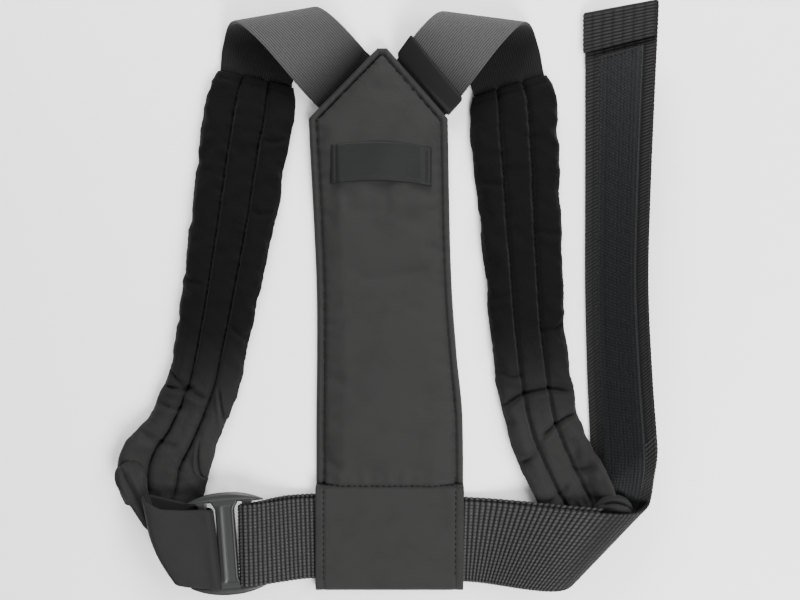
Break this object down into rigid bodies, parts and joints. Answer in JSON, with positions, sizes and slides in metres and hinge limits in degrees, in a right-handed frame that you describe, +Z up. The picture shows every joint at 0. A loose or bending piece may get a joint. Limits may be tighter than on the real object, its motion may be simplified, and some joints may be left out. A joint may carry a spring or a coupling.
{
  "type": "posture corrector",
  "caption": "Posture corrector lying flat: padded back panel, elastic shoulder straps, quilted arm pads, webbing belt with slide buckle and a hook-tape strap.",
  "frame": {"origin": "middle of the whole outline, on the surface that the corrector lies on", "axes": "+Z up off the surface, out of the panel's outer face; +Y along the back panel towards the neck end; +X to the right in the picture"},
  "size_m": [0.3318, 0.3636, 0.0409],
  "materials": {
    "panel_fabric": "matte brushed microfibre",
    "label": "woven satin, blank",
    "elastic_rib": "ribbed woven elastic",
    "keeper": "smooth tape",
    "pad_fabric": "matte brushed microfibre, quilted",
    "belt_webbing": "coarse polyester webbing",
    "hook_tape": "hook tape",
    "band": "smooth woven band",
    "buckle_plastic": "moulded nylon, satin gloss"
  },
  "bodies": {
    "root": {"back_panel": "panel_fabric", "label_patch": "label", "left_elastic": "elastic_rib", "right_elastic": "elastic_rib", "elastic_keeper": "keeper", "left_pad": "pad_fabric", "right_pad": "pad_fabric", "belt_webbing": "belt_webbing", "hook_tape": "hook_tape", "side_band": "band", "slide_buckle": "buckle_plastic"}
  },
  "joints": []
}
